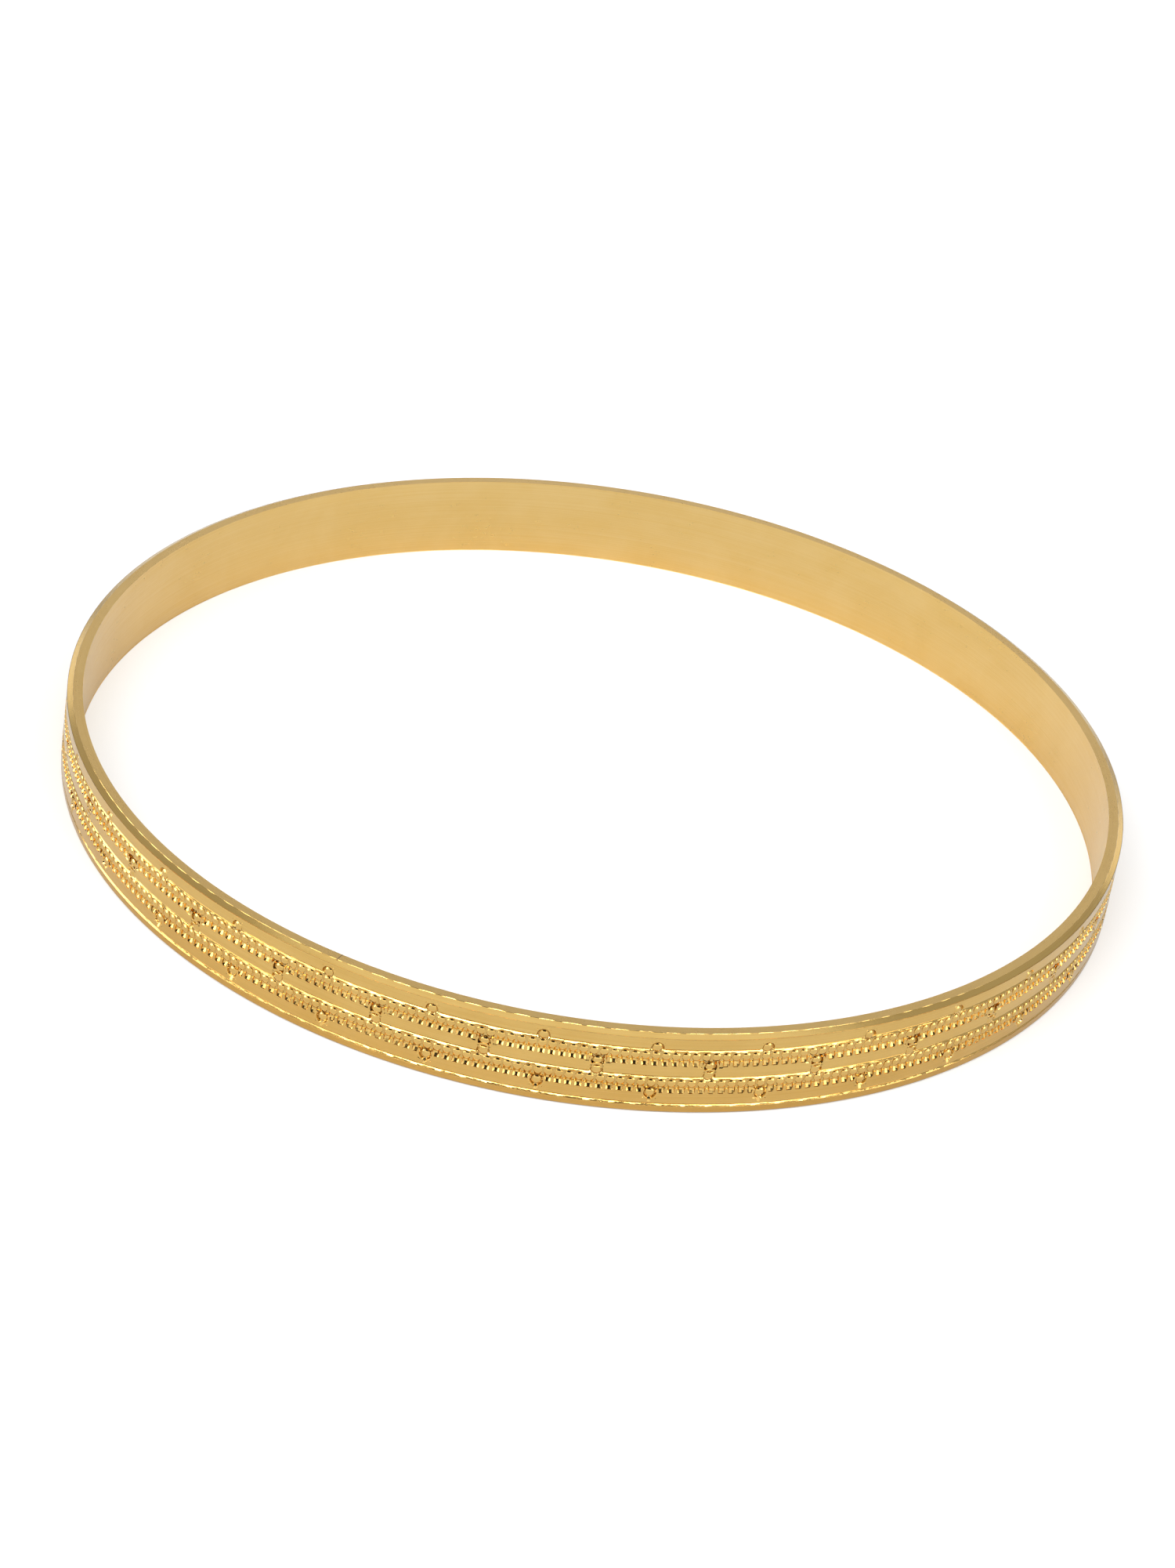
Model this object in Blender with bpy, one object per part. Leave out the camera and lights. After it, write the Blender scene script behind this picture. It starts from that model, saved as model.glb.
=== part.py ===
"""A closed bangle bracelet: one flat metal strip formed round, with its two ends soldered together.

The ring axis is Z, the bangle rests on Z = 0, and the middle of its near side faces -Y.
Angles go round from -Y towards +X. Lengths are in metres, and degrees are turned to radians where used.
"""

import math

import bmesh
import bpy

# Driving dimensions of the ring.
INNER_RADIUS = 0.03175
THICKNESS = 0.00095
WIDTH = 0.00525

# The two rims: small round corners, and a broad bevel along the outer edge of the upper one.
INNER_ROUND = 0.00010
FOOT_ROUND = 0.00014
BEVEL_DEPTH = 0.00026
BEVEL_HEIGHT = 0.00020
BEVEL_FOOT = 0.00002

# A row of beads: a cut above it, the beads as one round rib, and a narrow gap below it.
# Places are heights from the middle of the row, and depths below the outer wall.
UPPER_ROW = 0.00119
LOWER_ROW = -0.00065
CUT_TOP = 0.00055
CUT_BOTTOM = 0.00043
CUT_DEPTH = 0.00020
RIB_HALF = 0.00030
RIB_EDGE_DEPTH = 0.00010
RIB_CREST_DEPTH = 0.00002
GAP_BOTTOM = -0.00034
GAP_DEPTH = 0.00016
PANEL_TOP = -0.00038

# The same kind of cut parts the lowest panel from the plain lower margin.
CREASE_TOP = -0.00195
CREASE_BOTTOM = -0.00206
CREASE_DEPTH = 0.00016
MARGIN_TOP = -0.00215
MARGIN_DEPTH = 0.00003

# The soldered joint.
SEAM_ANGLE = math.radians(-22.5)
SEAM_GAP = 0.00036
SOLDER_WIDTH = 0.00030

BAND_STEPS = 120
SOLDER_STEPS = 1

OUTER_RADIUS = INNER_RADIUS + THICKNESS
MIDDLE_RADIUS = INNER_RADIUS + THICKNESS / 2


def round_corner(radius, height, reach, side, top, from_wall):
    """Three points that round a corner: side is +1 on the outer wall, and top is +1 on the upper rim."""
    points = []
    for step in range(3):
        turn = math.radians(45 * step)
        if from_wall:
            turn = math.radians(90) - turn
        out = radius - side * reach * (1 - math.sin(turn))
        up = height - reach * (1 - math.cos(turn))
        points.append((out, top * up))
    return points


def row_points(centre, beads):
    """One row from the panel above it to the panel below it, with the beads as a rounded rib."""
    rib = [(RIB_EDGE_DEPTH, RIB_HALF), (RIB_EDGE_DEPTH, -RIB_HALF)]
    if beads:
        rib.insert(1, (RIB_CREST_DEPTH, 0.0))
    section = [
        (0.0, CUT_TOP),
        (CUT_DEPTH, CUT_BOTTOM),
        *rib,
        (GAP_DEPTH, GAP_BOTTOM),
        (0.0, PANEL_TOP),
    ]
    return [(OUTER_RADIUS - depth, centre + height) for depth, height in section]


def strip_section(beads):
    """The section as (radius, height above mid-height), from its inner top corner outwards and down."""
    half = WIDTH / 2
    foot_radius = OUTER_RADIUS - MARGIN_DEPTH
    return [
        *round_corner(INNER_RADIUS, half, INNER_ROUND, -1, 1, True),
        (OUTER_RADIUS - BEVEL_DEPTH, half),
        (OUTER_RADIUS - BEVEL_FOOT, half - BEVEL_HEIGHT),
        *row_points(UPPER_ROW, beads),
        *row_points(LOWER_ROW, beads),
        (OUTER_RADIUS, CREASE_TOP),
        (OUTER_RADIUS - CREASE_DEPTH, CREASE_BOTTOM),
        (foot_radius, MARGIN_TOP),
        *round_corner(foot_radius, half, FOOT_ROUND, 1, -1, True),
        *round_corner(INNER_RADIUS, half, INNER_ROUND, -1, -1, False),
    ]


def material(name, colour, roughness):
    made = bpy.data.materials.new(name)
    made.use_nodes = True
    shader = made.node_tree.nodes["Principled BSDF"]
    shader.inputs["Base Color"].default_value = (*colour, 1.0)
    shader.inputs["Metallic"].default_value = 1.0
    shader.inputs["Roughness"].default_value = roughness
    return made


def swept_part(name, section, start, end, steps, look):
    """A closed solid: the section carried round Z from one angle to the other, capped at both ends."""
    mesh = bpy.data.meshes.new(name)
    work = bmesh.new()
    rings = []
    for step in range(steps + 1):
        angle = start + (end - start) * step / steps
        ring = []
        for radius, height in section:
            x = radius * math.sin(angle)
            y = -radius * math.cos(angle)
            ring.append(work.verts.new((x, y, height + WIDTH / 2)))
        rings.append(ring)
    count = len(section)
    for near, far in zip(rings[:-1], rings[1:]):
        for i in range(count):
            j = (i + 1) % count
            work.faces.new((near[i], near[j], far[j], far[i]))
    work.faces.new(rings[0])
    work.faces.new(rings[-1])
    bmesh.ops.recalc_face_normals(work, faces=work.faces)
    work.to_mesh(mesh)
    work.free()
    mesh.materials.append(look)
    mesh.shade_smooth()
    mesh.set_sharp_from_angle(angle=math.radians(25))
    part = bpy.data.objects.new(name, mesh)
    bpy.context.scene.collection.objects.link(part)
    return part


for old in list(bpy.data.objects):
    bpy.data.objects.remove(old, do_unlink=True)

gold = material("gold_plate", (0.78, 0.54, 0.20), 0.28)
solder = material("gold_solder", (0.70, 0.50, 0.22), 0.40)

half_gap = SEAM_GAP / 2 / MIDDLE_RADIUS
half_solder = SOLDER_WIDTH / 2 / MIDDLE_RADIUS

swept_part(
    "band",
    strip_section(beads=True),
    SEAM_ANGLE + half_gap,
    SEAM_ANGLE + 2 * math.pi - half_gap,
    BAND_STEPS,
    gold,
)
swept_part(
    "solder_seam",
    strip_section(beads=False),
    SEAM_ANGLE - half_solder,
    SEAM_ANGLE + half_solder,
    SOLDER_STEPS,
    solder,
)
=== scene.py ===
"""Looks for the bangle: a plated strip with a milled brick pattern, two beaded grooves and plain rims.

The bangle's lengths are in millimetres, and become metres when a mesh is made. The studio's are in metres.
Angles go round from -Y towards +X, as in the CAD frame. Heights are measured from the strip's mid-height.
"""

import math

import bpy
import numpy as np
from mathutils import Matrix, Vector


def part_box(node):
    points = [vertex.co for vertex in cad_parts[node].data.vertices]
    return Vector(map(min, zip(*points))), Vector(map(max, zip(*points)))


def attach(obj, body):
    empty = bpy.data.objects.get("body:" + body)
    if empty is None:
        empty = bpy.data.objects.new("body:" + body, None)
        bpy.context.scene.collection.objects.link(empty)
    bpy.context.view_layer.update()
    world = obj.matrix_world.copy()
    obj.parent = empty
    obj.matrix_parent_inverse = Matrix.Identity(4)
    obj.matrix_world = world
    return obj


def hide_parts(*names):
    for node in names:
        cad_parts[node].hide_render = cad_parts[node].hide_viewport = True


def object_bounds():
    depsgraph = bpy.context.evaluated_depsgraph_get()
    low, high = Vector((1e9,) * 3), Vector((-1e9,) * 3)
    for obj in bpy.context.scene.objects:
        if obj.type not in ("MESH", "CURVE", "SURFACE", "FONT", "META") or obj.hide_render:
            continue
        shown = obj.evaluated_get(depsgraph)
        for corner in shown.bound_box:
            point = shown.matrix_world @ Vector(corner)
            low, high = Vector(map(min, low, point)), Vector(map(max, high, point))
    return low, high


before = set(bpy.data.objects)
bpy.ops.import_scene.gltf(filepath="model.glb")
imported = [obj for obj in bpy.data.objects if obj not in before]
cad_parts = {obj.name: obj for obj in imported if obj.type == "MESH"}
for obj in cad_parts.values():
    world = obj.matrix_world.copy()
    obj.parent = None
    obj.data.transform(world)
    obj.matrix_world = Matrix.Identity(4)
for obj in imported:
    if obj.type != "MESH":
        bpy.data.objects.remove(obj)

CAD_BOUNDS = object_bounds()

# The ring, from the CAD's own box.
MM = 1000.0
LOW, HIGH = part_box("band")
WIDTH = (HIGH[2] - LOW[2]) * MM
HALF = WIDTH / 2
MID_HEIGHT = (HIGH[2] + LOW[2]) / 2
OUTER = 32.70
WALL = 0.95
INNER = OUTER - WALL

# The pattern: bricks, each as long as eleven beads.
BRICKS = 32
BEADS_PER_BRICK = 11
BEADS = BRICKS * BEADS_PER_BRICK
PITCH = 2 * math.pi * OUTER / BEADS
PATTERN_START = math.radians(-0.53)
UPPER_ROW = 1.19
LOWER_ROW = -0.65
BEAD_RADIUS = 0.255
BEAD_CROWN = 0.085
GRAIN_RADIUS = 0.275
GRAIN_CROWN = 0.092
GRAIN_ABOVE = 0.605
GRAIN_BELOW = 0.63

# The four separator grains of one brick, as (place in bricks, height, side). Side is 1 for a grain over its
# row and -1 for one under it: the grain's ring runs round that side of it.
GRAINS = (
    (0.0, UPPER_ROW + GRAIN_ABOVE, 1),
    (0.5, UPPER_ROW - GRAIN_BELOW, -1),
    (0.5, LOWER_ROW + GRAIN_ABOVE, 1),
    (0.0, LOWER_ROW - GRAIN_BELOW, -1),
)

# The section of one row, as (height over the row's middle, depth below the panels). A cut above the beads
# has a steep upper wall, a narrow floor, and a lower wall that faces up and ends in a ridge. Below the beads
# the next panel starts.
WALL_TOP = 0.545
CUT_FLOOR = 0.455
CUT_FLOOR_END = 0.445
RIDGE = 0.325
RIDGE_DEPTH = 0.038
ROW_SECTION = (
    (0.560, 0.000), (WALL_TOP, 0.012), (CUT_FLOOR, 0.160), (CUT_FLOOR_END, 0.158), (RIDGE, RIDGE_DEPTH),
    (0.310, 0.045), (0.270, 0.110), (0.200, 0.120), (-0.100, 0.100), (-0.240, 0.060), (-0.262, 0.004),
    (-0.275, 0.000),
)
# The pit under each bead, as (distance below the bead's middle, depth): its floor faces outward near the
# bead, and more and more upward further down.
PIT_END = 0.610
PIT_SECTION = ((0.230, 0.215), (0.345, 0.208), (0.438, 0.172), (0.600, 0.060), (PIT_END, 0.0))
PIT_FLOOR_HALF = 0.08
PIT_SIDE_SLOPE = 0.7
PIT_EDGE_SLOPE = 20.0
PIT_HALF = 0.195

# The round hollow that each separator grain stands in.
HOLLOW_RADIUS = 0.41
HOLLOW_DEPTH = 0.18

# The floor on which a row's beads stand: half its width, and how far its colour is darkened towards brown.
BEAD_FLOOR_HALF = 0.28
BEAD_FLOOR_DARKENING = 0.7

# How far the panels depart from an even face.
FACE_WAVE = 0.0022

# The crease over the lower margin is cut like the one above a row.
CREASE = -2.15
CREASE_TOP = 0.205
CREASE_WALL_TOP = 0.19
CREASE_FLOOR = 0.13
CREASE_FLOOR_END = 0.115
CREASE_SILL = 0.030
CREASE_SECTION = (
    (CREASE_TOP, 0.000), (CREASE_WALL_TOP, 0.012), (CREASE_FLOOR, 0.145), (CREASE_FLOOR_END, 0.143),
    (0.0, CREASE_SILL),
)

# The bevel along the outer edge of the upper rim: the height of its foot, and its depths from the outer face
# at the foot, at its upper edge, and where the rounding of that edge ends.
BEVEL_FOOT = 2.42
BEVEL_FOOT_DEPTH = 0.018
BEVEL_EDGE_DEPTH = 0.333
BEVEL_DEPTH = 0.350

# Each cut is a little deeper at even steps round the ring, where the cutter dwelt. A full lack of dwell makes
# it shallower by CUT_CHANGE, and sinks the ridge under it by RIDGE_CHANGE.
CUT_CHANGE = 0.02
RIDGE_CHANGE = 0.04
DWELLS = 146
DWELL_START = math.radians(-2.97)

# Small unevenness of the beads and grains: how far they stand out of line, and how steeply they tip. Their
# sides go down to DOME_SIDE.
DOME_SHIFT = 0.004
DOME_TIP = 0.02
DOME_SIDE = 0.24

# The channel round a separator grain, as (distance from the grain's middle, depth): the floor, the outer wall
# and a flange that covers the panel beside it. The table under it says how far the gold's colour is darkened
# towards brown at each of these points. The channel reaches round to RING_REACH degrees on either side.
RING_PROFILE = (
    (0.270, 0.150), (0.310, 0.145), (0.330, 0.125), (0.372, 0.010), (0.380, 0.001), (0.410, 0.001),
    (0.440, 0.001), (0.470, 0.001), (0.500, 0.001), (0.506, 0.016),
)
RING_DARKENING = (0.8, 0.8, 0.6, 0.1, 0.0, 0.0, 0.0, 0.0, 0.0, 0.0)
RING_REACH = 128
RING_SPOKES = 49
RING_PROUD = 0.004

# Corners of the plain section, the depth of its lower margin, and where the flat of the upper rim starts.
INNER_CORNER = 0.025
FOOT_CORNER = 0.14
MARGIN_DEPTH = 0.034
FLAT_START = 0.39

# Edges that turn by more than this stay sharp.
SHARP_ANGLE = math.radians(20)

# The solder line: its place round the ring, half its width on the rims, and how far it stands up.
SEAM_ANGLE = math.radians(-22.5)
SEAM_HALF = 0.032
SEAM_PROUD = 0.004


# ---------------------------------------------------------------- shape of the patterned face

def ramp(value, low, high):
    """0 up to low, 1 from high on, and a straight line between them."""
    return np.clip((value - low) / (high - low), 0.0, 1.0)


def smooth_noise(angle, height, seed, waves, lift):
    """A seamless wavy value near -1 to 1, of sines that fit round the ring a whole number of times.
    waves holds (fewest, most, size) of them, and lift says how much they lean with height."""
    chance = np.random.default_rng(seed)
    total = np.zeros(np.broadcast(angle, height).shape)
    for low, high, size in waves:
        for _ in range(5):
            count = int(chance.integers(low, high))
            tilt = chance.normal(0.0, lift)
            phase = chance.uniform(0, 2 * math.pi)
            total = total + size / 5 * np.sin(count * angle + tilt * height + phase)
    return total


def section_depth(section, up):
    """Depth of a section, given as (height, depth) pairs from the top down, at some heights."""
    heights, depths = zip(*section[::-1])
    return np.interp(up, heights, depths)


def dwell(angle, height, seed):
    """How long the cutter dwelt, from 0 to 1.5: peaks at even steps round the ring, with a ragged edge."""
    beat = 0.5 + 0.5 * np.cos(DWELLS * (angle + PATTERN_START - DWELL_START))
    ragged = smooth_noise(angle, height, seed, [(70, 200, 1.0), (300, 700, 0.6)], 0.0)
    strength = 0.75 + 0.5 * smooth_noise(angle, height, seed + 1, [(8, 30, 1.0)], 0.0)
    return np.clip(1.5 * beat ** 3 * strength + 0.26 + 0.25 * ragged, 0.0, 1.5)


def pit_floor(down):
    """Depth of a pit's floor at some distances below its bead's middle."""
    places, depths = zip(*PIT_SECTION)
    return np.interp(down, places, depths)


def pit_edge(down):
    """Half the width of a pit at some distances below its bead's middle."""
    return np.clip(PIT_FLOOR_HALF + pit_floor(down) / PIT_SIDE_SLOPE, PIT_FLOOR_HALF + 0.02, PIT_HALF)


def pit_depth(across, down):
    """Depth of the pit under a bead: a narrow sloping floor between two sloping side walls."""
    aside = np.abs(across)
    sloping = pit_floor(down) - PIT_SIDE_SLOPE * np.clip(aside - PIT_FLOOR_HALF, 0.0, None)
    walls = PIT_EDGE_SLOPE * np.clip(PIT_HALF - aside, 0.0, None)
    inside = (down > PIT_SECTION[0][0]) & (down < PIT_END)
    return np.where(inside, np.clip(np.minimum(sloping, walls), 0.0, None), 0.0)


def hollow_depth(across, up):
    """Depth of the round hollow in which one separator grain stands."""
    far = np.hypot(across, up)
    return HOLLOW_DEPTH * (1 - ramp(far, HOLLOW_RADIUS - 0.02, HOLLOW_RADIUS))


def cut_depth(angle, height):
    """Depth of the rows' sections and of the crease, without pits and grains."""
    depth = np.zeros(np.broadcast(angle, height).shape)
    for seed, centre in ((11, UPPER_ROW), (13, LOWER_ROW)):
        up = height - centre
        row = section_depth(ROW_SECTION, up)
        # Where the cutter didn't dwell, the cut is shallower and the ridge under it is lower.
        lack = 1 - dwell(angle, centre, seed)
        shallow = CUT_CHANGE * lack * (1 - ramp(up, CUT_FLOOR, WALL_TOP))
        deepest = section_depth(ROW_SECTION, CUT_FLOOR_END) - shallow
        ridge = np.minimum(RIDGE_DEPTH + RIDGE_CHANGE * lack, deepest)
        lower_wall = (up > RIDGE) & (up < CUT_FLOOR)
        row = np.where(lower_wall, np.maximum(row - shallow, ridge), row - shallow * (up >= CUT_FLOOR))
        inside = (up < ROW_SECTION[0][0]) & (up > ROW_SECTION[-1][0])
        depth = np.where(inside, row, depth)
    up = height - CREASE
    lack = 1 - dwell(angle, CREASE, seed=15)
    shallow = CUT_CHANGE * lack * (1 - ramp(up, CREASE_FLOOR, CREASE_WALL_TOP))
    cut = section_depth(CREASE_SECTION, up) - shallow
    sill = CREASE_SILL + RIDGE_CHANGE * lack
    depth = np.where(up < CREASE_TOP, cut, depth)
    return np.where(up < CREASE_FLOOR, np.maximum(cut, sill), depth)


def small_pit(across, down):
    """Depth of the lone pit under a grain of the lowest line, which is smaller than the others."""
    return 0.7 * pit_depth(1.45 * across, 1.12 * down)


def face_depth(turn, height):
    """How far the face lies below its panels, and how far its colour is darkened there, more the deeper it
    lies, from 0 on high ground to 1 in pits.
    turn counts beads from a separator."""
    turn, height = np.broadcast_arrays(turn, height)
    angle = turn * 2 * math.pi / BEADS
    across = (turn - np.round(turn)) * PITCH
    depth = cut_depth(angle, height)
    darkening = np.zeros(turn.shape)
    for centre in (UPPER_ROW, LOWER_ROW):
        darkening = np.where(np.abs(height - centre) < BEAD_FLOOR_HALF, BEAD_FLOOR_DARKENING, darkening)
        depth = np.maximum(depth, pit_depth(across, centre - height))
    for share, middle, side in GRAINS:
        past_start = np.mod(turn + (0.5 - share) * BEADS_PER_BRICK, BEADS_PER_BRICK)
        aside = (past_start - BEADS_PER_BRICK / 2) * PITCH
        hollow = hollow_depth(aside, height - middle)
        depth = np.maximum(depth, hollow)
        darkening = np.where(hollow > 0, 1.0, darkening)
        if side < 0 and middle < LOWER_ROW:
            depth = np.maximum(depth, small_pit(aside, middle - height))
    wave = FACE_WAVE * smooth_noise(angle, height, 5, [(12, 40, 1.0), (60, 150, 0.35)], lift=1.6)
    return depth + wave, darkening * ramp(depth, 0.05, 0.17)


# ---------------------------------------------------------------- meshes

def to_place(angle, radius, height):
    """Points in metres from an angle, a radius and a height over mid-height."""
    return np.stack(
        [
            radius * np.sin(angle) / MM,
            -radius * np.cos(angle) / MM,
            height / MM + MID_HEIGHT,
        ],
        axis=-1,
    )


def make_piece(name, points, faces, flow, materials, face_slots=None, recess=None):
    """A smooth-shaded mesh object that rides on the bangle's one body. flow holds a (along, across) place in
    millimetres for each point, and recess says how far the point's colour is darkened towards brown."""
    mesh = bpy.data.meshes.new(name)
    mesh.from_pydata(points.reshape(-1, 3).tolist(), [], [tuple(face) for face in faces])
    for look in materials:
        mesh.materials.append(look)
    if face_slots is not None:
        mesh.polygons.foreach_set("material_index", face_slots)
    layer = mesh.uv_layers.new(name="strip")
    corners = np.empty(len(mesh.loops), dtype=np.int32)
    mesh.loops.foreach_get("vertex_index", corners)
    layer.data.foreach_set("uv", flow.reshape(-1, 2)[corners].astype(np.float32).ravel())
    low = mesh.attributes.new("recess", "FLOAT", "POINT")
    if recess is not None:
        low.data.foreach_set("value", recess.ravel().astype(np.float32))
    mesh.shade_smooth()
    mesh.set_sharp_from_angle(angle=SHARP_ANGLE)
    mesh.update()
    piece = bpy.data.objects.new(name, mesh)
    bpy.context.scene.collection.objects.link(piece)
    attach(piece, "root")
    return piece


def ring_faces(rows, columns):
    """Quads of a grid that closes on itself along its columns. They face outward if the rows run down."""
    row, column = np.meshgrid(np.arange(rows - 1), np.arange(columns), indexing="ij")
    after = (column + 1) % columns
    quads = np.stack(
        [
            row * columns + column,
            (row + 1) * columns + column,
            (row + 1) * columns + after,
            row * columns + after,
        ],
        axis=-1,
    )
    return quads.reshape(-1, 4)


def face_columns(height):
    """Column places in beads at some heights: four on either side of a bead, that follow its pit's walls."""
    gap = 0.006
    edge = np.full(height.shape, PIT_HALF)
    for centre in (UPPER_ROW, LOWER_ROW):
        down = centre - height
        edge = np.where((down > PIT_SECTION[0][0]) & (down < PIT_END + 0.02), pit_edge(down), edge)
    floor_half = np.full(height.shape, PIT_FLOOR_HALF)
    steps = [floor_half, 0.5 * (floor_half + edge), edge - gap, edge + gap]
    within = np.concatenate([-step for step in reversed(steps)] + steps, axis=1) / PITCH
    return (np.arange(BEADS)[None, :, None] + within[:, None, :]).reshape(len(height), -1)


def patterned_strip(name, heights, look):
    """Part of the patterned face all round the ring, with one row of points at each of the heights."""
    height = np.array(heights)[:, None]
    turn = face_columns(height)
    angle = turn * 2 * math.pi / BEADS
    depth, darkening = face_depth(turn, height)
    place = angle + PATTERN_START
    points = to_place(place, OUTER - depth, np.broadcast_to(height, depth.shape))
    flow = np.stack(np.broadcast_arrays(angle * OUTER, height), axis=-1)
    faces = ring_faces(len(heights), turn.shape[1])
    piece = make_piece(name, points, faces, flow, [look], recess=darkening)
    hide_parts("band")


def dome_rings(radius, crown):
    """(distance from the middle, depth) of a low dome that rolls over at its rim, with an upright side."""
    profile = []
    for share in (0.35, 0.60, 0.76, 0.88, 0.96, 1.0):
        profile.append((radius * share, crown * share ** 2.6))
    profile.append((radius * 1.012, crown + 0.012))
    profile.append((radius * 1.016, DOME_SIDE))
    return profile


def dome_rows(name, middles, radius, crown, crest, segments, look, seed):
    """Many domes in one mesh. middles holds (turn in beads, height) pairs, and crest is their tops' depth."""
    chance = np.random.default_rng(seed)
    profile = dome_rings(radius, crown)
    spokes = np.arange(segments) * 2 * math.pi / segments
    per_dome = 1 + len(profile) * segments
    points = []
    flow = []
    faces = []
    for index, (turn, height) in enumerate(middles):
        angle = turn * 2 * math.pi / BEADS
        shift = chance.normal(0.0, DOME_SHIFT, 3)
        tip = chance.normal(0.0, DOME_TIP, 2)
        start = index * per_dome
        across = [0.0]
        up = [0.0]
        down = [0.0]
        for out, fall in profile:
            across.extend(out * np.sin(spokes))
            up.extend(out * np.cos(spokes))
            down.extend([fall] * segments)
        across = np.array(across)
        up = np.array(up)
        down = np.array(down) + crest + shift[2] + tip[0] * across + tip[1] * up
        place = angle + PATTERN_START + (across + shift[0]) / OUTER
        level = height + up + shift[1]
        points.append(to_place(place, OUTER - down, level))
        flow.append(np.stack([angle * OUTER + across, level], axis=-1))
        for spoke in range(segments):
            after = (spoke + 1) % segments
            faces.append((start, start + 1 + after, start + 1 + spoke))
        for ring in range(len(profile) - 1):
            inner = start + 1 + ring * segments
            outer = inner + segments
            for spoke in range(segments):
                after = (spoke + 1) % segments
                faces.append((inner + spoke, inner + after, outer + after, outer + spoke))
    # The tops keep their colour, the rolled rims are darkened a little towards brown, and the feet of the
    # sides as much as the pits.
    darkening = [0.0] * (1 + segments * (len(profile) - 2)) + [0.3] * segments + [1.0] * segments
    recess = np.tile(darkening, len(middles))
    piece = make_piece(name, np.concatenate(points), faces, np.concatenate(flow), [look], recess=recess)
    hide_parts("band")


def grain_rings(name, middles, look):
    """The round channel about each separator grain, on the side away from its row. middles holds
    (turn in beads, height, side): the channel runs over the grain for side 1, and under it for side -1."""
    spokes = np.radians(np.linspace(-RING_REACH, RING_REACH, RING_SPOKES))
    out = np.array([point[0] for point in RING_PROFILE])[:, None]
    fall = np.array([point[1] for point in RING_PROFILE])[:, None]
    count = len(spokes)
    points = []
    flow = []
    faces = []
    for index, (turn, height, side) in enumerate(middles):
        angle = turn * 2 * math.pi / BEADS
        across = out * np.sin(spokes)[None, :]
        up = side * out * np.cos(spokes)[None, :]
        place = angle + PATTERN_START + across / OUTER
        level = height + up
        down = np.maximum(fall, cut_depth(place - PATTERN_START, level)) - RING_PROUD
        if height < LOWER_ROW:
            down = np.maximum(down, small_pit(across, -up))
        points.append(to_place(place, OUTER - down, level).reshape(-1, 3))
        flow.append(np.stack([angle * OUTER + across, level], axis=-1).reshape(-1, 2))
        start = index * len(RING_PROFILE) * count
        for row in range(len(RING_PROFILE) - 1):
            for column in range(count - 1):
                first = start + row * count + column
                quad = (first, first + 1, first + count + 1, first + count)
                faces.append(quad if side > 0 else quad[::-1])
    darkening = np.tile(np.repeat(RING_DARKENING, count), len(middles))
    piece = make_piece(name, np.concatenate(points), faces, np.concatenate(flow), [look], recess=darkening)
    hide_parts("band")


def rounded(depth, height, reach, start, end, steps):
    """Points round a corner's centre, from one angle to another in degrees: 0 is outward and 90 is up."""
    points = []
    for step in range(steps + 1):
        turn = math.radians(start + (end - start) * step / steps)
        points.append((depth - reach * math.cos(turn), height + reach * math.sin(turn)))
    return points


def body_profile():
    """The plain part of the section, as (depth from the outer face, height): from the bevel over the upper
    rim, down the inner wall and back along the lower rim to the margin. Both ends tuck in under the face."""
    bevel_start = BEVEL_FOOT + 0.006
    bevel_end = HALF - 0.022
    points = [(0.08, BEVEL_FOOT - 0.06), (0.012, BEVEL_FOOT - 0.012), (BEVEL_FOOT_DEPTH, bevel_start)]
    for share in (0.25, 0.5, 0.75, 0.97, 1.0):
        depth = BEVEL_FOOT_DEPTH + (BEVEL_EDGE_DEPTH - BEVEL_FOOT_DEPTH) * share
        points.append((depth, bevel_start + (bevel_end - bevel_start) * share))
    points += [(BEVEL_DEPTH - 0.001, HALF - 0.003), (BEVEL_DEPTH, HALF), (BEVEL_DEPTH + 0.015, HALF)]
    flat_end = WALL - INNER_CORNER
    for step in range(6):
        points.append((FLAT_START + (flat_end - FLAT_START) * step / 5, HALF))
    points += rounded(flat_end, HALF - INNER_CORNER, -INNER_CORNER, -90, -180, 6)[1:]
    count = 14
    for step in range(1, count):
        points.append((WALL, (HALF - INNER_CORNER) * (1 - 2 * step / count)))
    points += rounded(flat_end, INNER_CORNER - HALF, -INNER_CORNER, -180, -270, 6)
    foot = MARGIN_DEPTH + FOOT_CORNER
    for step in range(1, 6):
        points.append((flat_end + (foot - flat_end) * step / 5, -HALF))
    points += rounded(foot, FOOT_CORNER - HALF, FOOT_CORNER, -90, 0, 7)[1:]
    points += [(MARGIN_DEPTH - 0.004, -2.32), (MARGIN_DEPTH - 0.002, CREASE - 0.02), (0.08, CREASE + 0.04)]
    return points


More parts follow.
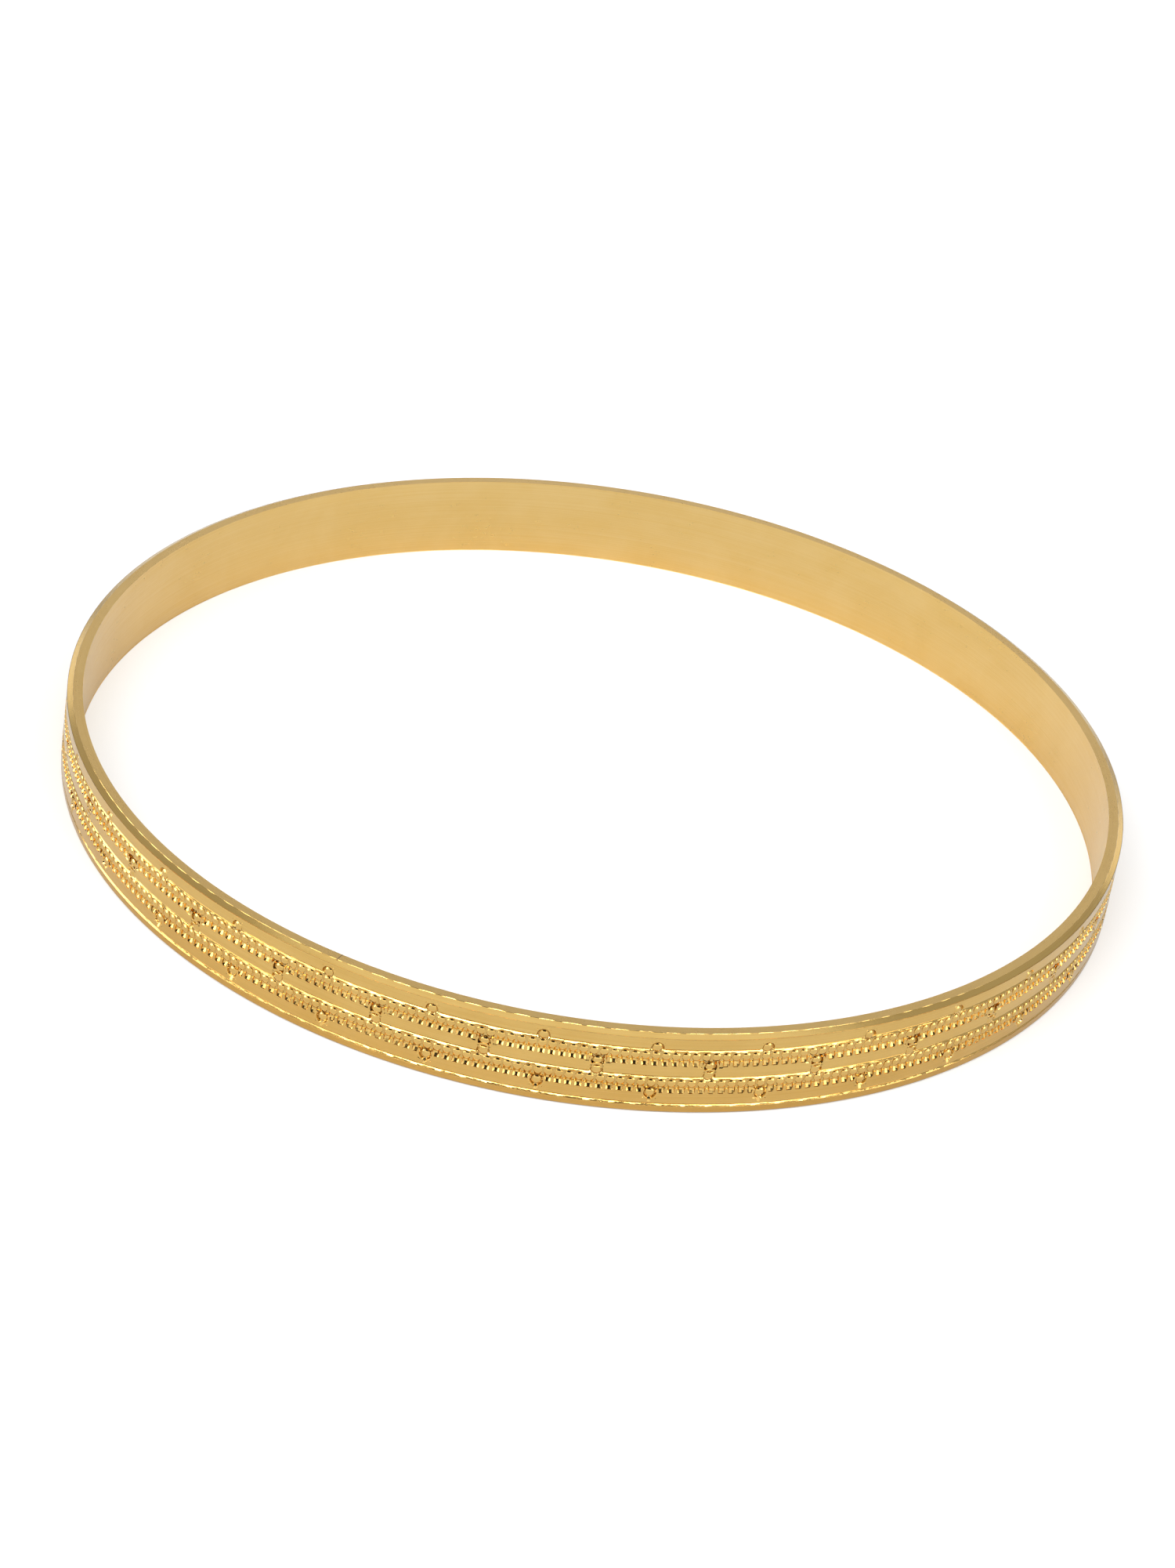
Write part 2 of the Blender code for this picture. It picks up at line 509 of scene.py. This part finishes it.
def plain_body(looks):
    """Bevel, rims, inner wall and lower margin in one lathe, with slight unevenness. looks are the materials
    of the margin, the rims, the inner wall and the bevel."""
    profile = np.array(body_profile())
    columns = 3 * BEADS
    angle = (np.arange(columns) * 2 * math.pi / columns)[None, :]
    depth = profile[:, 0][:, None]
    height = profile[:, 1][:, None]
    on_wall = ramp(depth, WALL - 0.06, WALL)
    on_margin = 1 - ramp(depth, 0.22, 0.26)
    wall_wave = 0.010 * smooth_noise(angle, height, 31, [(5, 14, 1.0), (20, 60, 0.25)], lift=0.5)
    margin_wave = 0.0016 * smooth_noise(angle, height, 37, [(30, 90, 1.0)], lift=2.5)
    rim_wave = 0.0012 * smooth_noise(angle, depth, 41, [(30, 110, 1.0)], lift=2.0)
    # The bevel's upper edge is ragged where the cutter dwelt.
    below_edge = ramp(depth, 0.24, BEVEL_EDGE_DEPTH)
    past_edge = ramp(depth, BEVEL_EDGE_DEPTH, BEVEL_DEPTH - 0.001)
    edge = below_edge * (1 - past_edge) * (height > 0)
    ragged = 0.007 * (dwell(angle - PATTERN_START, height, seed=17) - 0.45) * edge
    radius = OUTER - depth + wall_wave * on_wall - margin_wave * on_margin + ragged
    tall = height - np.sign(height) * np.abs(rim_wave) * (1 - on_wall) * (1 - on_margin)
    points = to_place(np.broadcast_to(angle, radius.shape), radius, np.broadcast_to(tall, radius.shape))
    along = np.concatenate([[0.0], np.cumsum(np.hypot(*np.diff(profile, axis=0).T))])
    flow = np.stack(np.broadcast_arrays(angle * OUTER, along[:, None]), axis=-1)
    faces = ring_faces(len(profile), columns)[:, ::-1]
    rows = np.repeat(np.arange(len(profile) - 1), columns)
    middle_depth = (profile[:-1, 0] + profile[1:, 0])[rows] / 2
    middle_height = np.abs(profile[:-1, 1] + profile[1:, 1])[rows] / 2
    on_rim = (middle_height > HALF - 0.012) & (middle_depth > 0.15)
    on_bevel = (profile[:-1, 1][rows] > 0) & (middle_depth < BEVEL_DEPTH)
    margin, rim, inner_wall, bevel = range(4)
    outer_slots = np.where(on_rim, rim, np.where(on_bevel, bevel, margin))
    slots = np.where(middle_depth > WALL - 0.05, inner_wall, outer_slots)
    piece = make_piece("band_body", points, faces, flow, looks, slots.astype(np.int32))
    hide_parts("band")


def seam_ribbon(look):
    """The filed solder line across both rims and the inner wall."""
    path = []
    for share in np.linspace(0.30, 1.0, 8):
        path.append((WALL * share - 0.02 * (share == 1.0), HALF))
    for share in np.linspace(0.03, 0.97, 12):
        path.append((WALL, HALF - 2 * HALF * share))
    path += [(depth, -height) for depth, height in reversed(path[:8])]
    chance = np.random.default_rng(71)
    points = []
    flow = []
    steps = np.linspace(-1, 1, 5)
    for index, (depth, height) in enumerate(path):
        on_wall = abs(height) < HALF - 0.001
        half_width = SEAM_HALF + 0.008 * chance.uniform(-1, 1) + 0.03 * on_wall
        waver = 0.004 * math.sin(index * 1.3)
        for step in steps:
            rise = SEAM_PROUD * (1 - 0.6 * step * step)
            across = step * half_width + waver
            place = SEAM_ANGLE + across / (OUTER - depth)
            if on_wall:
                radius = OUTER - depth - rise
                level = height
            else:
                radius = OUTER - depth
                level = height + math.copysign(rise, height)
            points.append(to_place(np.array(place), np.array(radius), np.array(level)))
            flow.append((across, index * 0.2))
    count = len(steps)
    faces = []
    for row in range(len(path) - 1):
        for column in range(count - 1):
            first = row * count + column
            faces.append((first, first + count, first + count + 1, first + 1))
    piece = make_piece("solder_line", np.array(points), faces, np.array(flow), [look])
    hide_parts("solder_seam")


# ---------------------------------------------------------------- materials

LIGHT_GOLD = (0.80, 0.530, 0.165)
DEEP_GOLD = (0.73, 0.460, 0.125)
# A dark brown that the colour sinks towards where the recess value is high, and how far it sinks at most.
RECESS_BROWN = (0.30, 0.225, 0.105)
RECESS_BROWN_SHARE = 0.45
COAT = 0.35
COAT_ROUGHNESS = 0.15
TURNING_RELIEF = 0.00002
SCRATCH_RELIEF = 0.00001

# The colour sockets of a Mix node, whose names are shared with its other kinds.
MIX_FIRST = 6
MIX_SECOND = 7
MIX_RESULT = 2


class Nodes:
    """Small helper that adds and joins shader nodes."""

    def __init__(self, material):
        self.tree = material.node_tree
        self.shader = self.tree.nodes["Principled BSDF"]

    def add(self, kind, **settings):
        node = self.tree.nodes.new(kind)
        for key, value in settings.items():
            setattr(node, key, value)
        return node

    def join(self, source, target):
        self.tree.links.new(source, target)

    def sum(self, first, second):
        node = self.add("ShaderNodeMath", operation="ADD")
        self.join(first, node.inputs[0])
        self.join(second, node.inputs[1])
        return node.outputs[0]

    def mixed(self, share, first, second):
        """A blend from a first colour or socket to a second colour, by a share from 0 to 1."""
        node = self.add("ShaderNodeMix", data_type="RGBA")
        self.join(share, node.inputs[0])
        if isinstance(first, tuple):
            node.inputs[MIX_FIRST].default_value = (*first, 1.0)
        else:
            self.join(first, node.inputs[MIX_FIRST])
        node.inputs[MIX_SECOND].default_value = (*second, 1.0)
        return node.outputs[MIX_RESULT]

    def bump(self, source, strength, distance):
        node = self.add("ShaderNodeBump")
        node.inputs["Strength"].default_value = strength
        node.inputs["Distance"].default_value = distance
        self.join(source, node.inputs["Height"])
        return node

    def mapped(self, source, low, high, to_low, to_high):
        """A value brought from one range to another, and held inside it."""
        node = self.add("ShaderNodeMapRange")
        node.inputs["From Min"].default_value = low
        node.inputs["From Max"].default_value = high
        node.inputs["To Min"].default_value = to_low
        node.inputs["To Max"].default_value = to_high
        self.join(source, node.inputs["Value"])
        return node.outputs["Result"]

    def noise(self, vector, scale, detail=3.0, roughness=0.5, distortion=0.0):
        node = self.add("ShaderNodeTexNoise")
        node.inputs["Scale"].default_value = scale
        node.inputs["Detail"].default_value = detail
        node.inputs["Roughness"].default_value = roughness
        node.inputs["Distortion"].default_value = distortion
        self.join(vector, node.inputs["Vector"])
        return node.outputs["Fac"]

    def stretched(self, along, across):
        """Coordinates in millimetres, scaled along the ring and across it. They have no seam round it."""
        room = self.add("ShaderNodeTexCoord")
        split = self.add("ShaderNodeSeparateXYZ")
        self.join(room.outputs["Object"], split.inputs[0])
        strip = self.add("ShaderNodeUVMap", uv_map="strip")
        second = self.add("ShaderNodeSeparateXYZ")
        self.join(strip.outputs["UV"], second.inputs[0])
        whole = self.add("ShaderNodeCombineXYZ")
        for source, target, factor in (
            (split.outputs["X"], "X", along * MM),
            (split.outputs["Y"], "Y", along * MM),
            (second.outputs["Y"], "Z", across),
        ):
            times = self.add("ShaderNodeMath", operation="MULTIPLY")
            times.inputs[1].default_value = factor
            self.join(source, times.inputs[0])
            self.join(times.outputs[0], whole.inputs[target])
        return whole.outputs[0]


def gold(name, light, dark, rough, turned, scratch, blotch=1.0):
    """Plated gold: colour that drifts from light to dark, lines left by turning, fine scratches and wear.
    rough is the lowest and the highest roughness, and a bigger blotch makes the drift's patches harder."""
    look = bpy.data.materials.new(name)
    look.use_nodes = True
    n = Nodes(look)
    n.shader.inputs["Metallic"].default_value = 1.0
    n.shader.inputs["Coat Weight"].default_value = COAT
    n.shader.inputs["Coat Roughness"].default_value = COAT_ROUGHNESS

    drift = n.noise(n.stretched(0.22, 0.30), 1.0, 4.0, 0.55, 0.4)
    lines = n.noise(n.stretched(0.05, 26.0), 1.0, 3.0, 0.7)
    half_range = 0.28 / blotch
    patches = n.mapped(drift, 0.5 - half_range, 0.5 + half_range, 0.0, 1.0)
    tint = n.sum(patches, n.mapped(lines, 0.3, 0.7, -0.6, 0.6))
    # The colour is darkened towards a dark brown by the recess value: in hollows, channels and at the feet of
    # the domes.
    low = n.add("ShaderNodeAttribute", attribute_name="recess")
    browning = n.mapped(low.outputs["Fac"], 0.0, 1.0, 0.0, RECESS_BROWN_SHARE)
    n.join(n.mixed(browning, n.mixed(tint, dark, light), RECESS_BROWN), n.shader.inputs["Base Color"])

    fine = n.noise(n.stretched(2.2, 5.0), 1.0, 4.0, 0.6)
    wear = n.sum(n.mapped(drift, 0.3, 0.7, -0.5, 0.5), n.mapped(fine, 0.3, 0.7, -0.5, 1.0))
    n.join(n.mapped(wear, -1.0, 1.5, *rough), n.shader.inputs["Roughness"])

    along = n.noise(n.stretched(1.6, 50.0), 1.0, 2.0, 0.6, 1.5)
    across = n.noise(n.stretched(45.0, 2.5), 1.0, 2.0, 0.6, 1.0)
    turning = n.bump(lines, turned, TURNING_RELIEF)
    scratches = n.bump(n.sum(along, across), scratch, SCRATCH_RELIEF)
    n.join(turning.outputs["Normal"], scratches.inputs["Normal"])
    n.join(scratches.outputs["Normal"], n.shader.inputs["Normal"])
    return look


panel_gold = gold("gold_panels", LIGHT_GOLD, DEEP_GOLD, rough=(0.08, 0.16), turned=0.12, scratch=0.12)
# Painted shade: a darker, browner gold for the lower panels, for the shaded floor near the foot that they
# mirror.
low_gold_painted_shade = gold(
    "gold_low_panels_painted_shade", (0.75, 0.485, 0.145), (0.68, 0.42, 0.108), rough=(0.08, 0.16), turned=0.12,
    scratch=0.12,
)
bead_gold = gold("gold_beads", LIGHT_GOLD, DEEP_GOLD, rough=(0.06, 0.12), turned=0.0, scratch=0.10)
# Painted shade: darker and browner still on the lower margin, for the shaded floor right at the foot that it
# mirrors.
margin_gold_painted_shade = gold(
    "gold_margins_painted_shade", (0.68, 0.42, 0.115), (0.61, 0.36, 0.085), rough=(0.08, 0.15), turned=0.15, scratch=0.15
)
rim_gold = gold(
    "gold_rims", (0.80, 0.530, 0.175), (0.74, 0.47, 0.140), rough=(0.24, 0.36), turned=0.3, scratch=0.6
)
wall_gold = gold(
    "gold_inner_wall", (0.87, 0.61, 0.235), (0.83, 0.55, 0.175), rough=(0.26, 0.34), turned=0.0, scratch=0.0,
    blotch=1.3,
)
seam_gold = gold(
    "gold_solder", (0.50, 0.32, 0.14), (0.30, 0.19, 0.09), rough=(0.35, 0.55), turned=0.0, scratch=0.6
)

# ---------------------------------------------------------------- the bangle

# Rows of points over and under a row of beads and at the crease, from the top down. They stand closest on the
# walls that mirror the lights.
above_beads = [0.575, 0.560, WALL_TOP, CUT_FLOOR, CUT_FLOOR_END, 0.42, 0.40, 0.38, 0.36, 0.34, RIDGE]
above_beads += [0.31, 0.27, 0.20, 0.0]
below_beads = [0.0, -0.10, -0.24, -0.262, -0.275, -0.345, -0.39, -0.438, -0.49, -0.55, -0.60, -0.61, -0.625]
crease_rows = [0.215, CREASE_TOP, CREASE_WALL_TOP, CREASE_FLOOR, CREASE_FLOOR_END]
crease_rows += [0.095, 0.075, 0.055, 0.035, 0.015, 0.0, -0.035]

upper_rows = [BEVEL_FOOT, BEVEL_FOOT - 0.03] + list(np.linspace(2.33, UPPER_ROW + 0.64, 7))
upper_rows += [UPPER_ROW + up for up in above_beads]

middle_rows = [UPPER_ROW + up for up in below_beads]
middle_rows += list(np.linspace(UPPER_ROW - 0.70, LOWER_ROW + 0.64, 5))
middle_rows += [LOWER_ROW + up for up in above_beads]

lower_rows = [LOWER_ROW + up for up in below_beads]
lower_rows += list(np.linspace(LOWER_ROW - 0.70, CREASE + 0.26, 6))
lower_rows += [CREASE + up for up in crease_rows]

patterned_strip("face_upper", upper_rows, panel_gold)
patterned_strip("face_middle", middle_rows, panel_gold)
# The lowest strip takes the gold with painted shade.
patterned_strip("face_lower", lower_rows, low_gold_painted_shade)

for name, height, seed in (("bead_row_upper", UPPER_ROW, 51), ("bead_row_lower", LOWER_ROW, 52)):
    places = [(turn, height) for turn in range(BEADS)]
    dome_rows(name, places, BEAD_RADIUS, BEAD_CROWN, crest=0.004, segments=16, look=bead_gold, seed=seed)

grains = []
for brick in range(BRICKS):
    for share, height, side in GRAINS:
        grains.append(((brick + share) * BEADS_PER_BRICK, height, side))
places = [(turn, height) for turn, height, side in grains]
dome_rows(
    "separator_grains", places, GRAIN_RADIUS, GRAIN_CROWN, crest=-0.004, segments=24, look=bead_gold, seed=53
)
grain_rings("grain_rings", grains, bead_gold)

# The margin's gold carries painted shade.
plain_body([margin_gold_painted_shade, rim_gold, wall_gold, panel_gold])


seam_ribbon(seam_gold)

# ---------------------------------------------------------------- floor, lights and camera

FLOOR_SHADE = 0.54
FLOOR_GLOW = 0.32
FLOOR_SIZE = 8.0
BACKDROP_STRENGTH = 1.1
TENT_COLOUR = (0.96, 0.98, 1.0)
TENT_STRENGTH = 0.49


def matt_material(name, shade, roughness):
    """A grey surface without gloss."""
    look = bpy.data.materials.new(name)
    look.use_nodes = True
    shader = look.node_tree.nodes["Principled BSDF"]
    shader.inputs["Base Color"].default_value = (shade, shade, shade, 1.0)
    shader.inputs["Roughness"].default_value = roughness
    shader.inputs["Specular IOR Level"].default_value = 0.0
    return look


def flat_card(name, width, height, look):
    """A rectangle in its own XY plane."""
    mesh = bpy.data.meshes.new(name)
    w = width / 2
    h = height / 2
    mesh.from_pydata([(-w, -h, 0), (w, -h, 0), (w, h, 0), (-w, h, 0)], [], [(0, 1, 2, 3)])
    mesh.materials.append(look)
    card = bpy.data.objects.new(name, mesh)
    bpy.context.scene.collection.objects.link(card)
    return card


def floor():
    """Pale paper, a little brighter to the camera than to the gold."""
    look = matt_material("white_paper", FLOOR_SHADE, 0.9)
    tree = look.node_tree
    shader = tree.nodes["Principled BSDF"]
    shader.inputs["Emission Color"].default_value = (1.0, 1.0, 1.0, 1.0)
    path = tree.nodes.new("ShaderNodeLightPath")
    scale = tree.nodes.new("ShaderNodeMath")
    scale.operation = "MULTIPLY"
    scale.inputs[1].default_value = FLOOR_GLOW
    tree.links.new(path.outputs["Is Camera Ray"], scale.inputs[0])
    tree.links.new(scale.outputs[0], shader.inputs["Emission Strength"])
    plane = flat_card("floor", FLOOR_SIZE, FLOOR_SIZE, look)
    plane.location.z = CAD_BOUNDS[0][2] - 0.00002


def direction(azimuth, elevation):
    """A unit vector towards a place in the room: azimuth 0 is the -Y side, and grows towards +X."""
    around = math.radians(azimuth)
    over = math.radians(elevation)
    level = math.cos(over)
    return Vector((math.sin(around) * level, -math.cos(around) * level, math.sin(over)))


CENTRE = Vector((0.0, 0.0, MID_HEIGHT))


def placed(azimuth, elevation, distance):
    """The place and turn of something that faces the bangle."""
    where = CENTRE + direction(azimuth, elevation) * distance
    back = (where - CENTRE).normalized()
    side = Vector((0, 0, 1)).cross(back).normalized()
    up = back.cross(side)
    turn = Matrix((side, up, back)).transposed().to_4x4()
    return Matrix.Translation(where) @ turn


def softbox(name, azimuth, elevation, distance, width, height, radiance):
    """An area light whose face has the given radiance."""
    light = bpy.data.lights.new(name, "AREA")
    light.shape = "RECTANGLE"
    light.size = width
    light.size_y = height
    light.energy = radiance * math.pi * width * height
    lamp = bpy.data.objects.new(name, light)
    bpy.context.scene.collection.objects.link(lamp)
    lamp.matrix_world = placed(azimuth, elevation, distance)
    lamp.visible_camera = False


def dark_card(name, azimuth, elevation, distance, width, height, shade):
    """A matt card that only reflections see, like the dark opening of a light tent."""
    card = flat_card(name, width, height, matt_material(name, shade, 1.0))
    card.matrix_world = placed(azimuth, elevation, distance)
    card.visible_camera = False
    card.visible_diffuse = False
    card.visible_shadow = False


def tent():
    """Even light from all round, and a white backdrop for the camera."""
    world = bpy.data.worlds.new("light_tent")
    bpy.context.scene.world = world
    world.use_nodes = True
    tree = world.node_tree
    tree.nodes.clear()
    out = tree.nodes.new("ShaderNodeOutputWorld")
    seen = tree.nodes.new("ShaderNodeBackground")
    seen.inputs["Color"].default_value = (1.0, 1.0, 1.0, 1.0)
    seen.inputs["Strength"].default_value = BACKDROP_STRENGTH
    room = tree.nodes.new("ShaderNodeBackground")
    room.inputs["Color"].default_value = (*TENT_COLOUR, 1.0)
    room.inputs["Strength"].default_value = TENT_STRENGTH
    path = tree.nodes.new("ShaderNodeLightPath")
    mix = tree.nodes.new("ShaderNodeMixShader")
    tree.links.new(path.outputs["Is Camera Ray"], mix.inputs[0])
    tree.links.new(room.outputs[0], mix.inputs[1])
    tree.links.new(seen.outputs[0], mix.inputs[2])
    tree.links.new(mix.outputs[0], out.inputs["Surface"])


floor()
tent()
# Each light as (name, azimuth, elevation, distance, width, height, radiance), in degrees and metres.
for settings in (
    ("key_strip", -14, 55, 0.9, 0.62, 0.28, 9.0),
    ("left_strip", -60, 49, 0.9, 0.40, 0.28, 3.2),
    ("right_strip", 50, 49, 0.9, 0.46, 0.26, 6.0),
    ("ceiling_panel", 0, 88, 1.1, 1.2, 0.60, 0.50),
    ("front_wall", 0, 22, 1.6, 3.4, 1.2, 0.80),
    ("left_softbox", -86, 14, 1.0, 1.05, 0.52, 3.8),
    ("right_softbox", 71, 14, 1.0, 0.60, 0.52, 2.6),
    ("back_wall", 180, 17, 1.5, 2.4, 0.5, 0.60),
):
    softbox(*settings)
dark_card("camera_opening", azimuth=0, elevation=33, distance=0.75, width=0.80, height=0.38, shade=0.01)

# The camera looks down on the near side of the bangle.
ELEVATION = math.radians(30.77)
DISTANCE = 8.5317 * OUTER / MM
LENS = 103.5251
YAW = math.radians(0.0435)
PITCH_UP = math.radians(-0.2453)
ROLL = math.radians(-9.4624)
SENSOR = 36.0


def turned(first, second, angle):
    """Both axes turned by an angle in their own plane."""
    cosine = math.cos(angle)
    sine = math.sin(angle)
    return first * cosine + second * sine, second * cosine - first * sine


def camera():
    back = Vector((0.0, -math.cos(ELEVATION), math.sin(ELEVATION)))
    forward = -back
    right = Vector((1.0, 0.0, 0.0))
    up = right.cross(forward).normalized()
    right, forward = turned(right, forward, YAW)
    forward, up = turned(forward, up, PITCH_UP)
    up, right = turned(up, right, ROLL)
    data = bpy.data.cameras.new("camera")
    data.sensor_width = SENSOR
    data.lens = LENS
    data.clip_start = 0.01
    made = bpy.data.objects.new("camera", data)
    bpy.context.scene.collection.objects.link(made)
    place = CENTRE + back * DISTANCE
    made.matrix_world = Matrix.Translation(place) @ Matrix((right, up, -forward)).transposed().to_4x4()
    bpy.context.scene.camera = made


camera()
bpy.context.scene.view_settings.view_transform = "Standard"
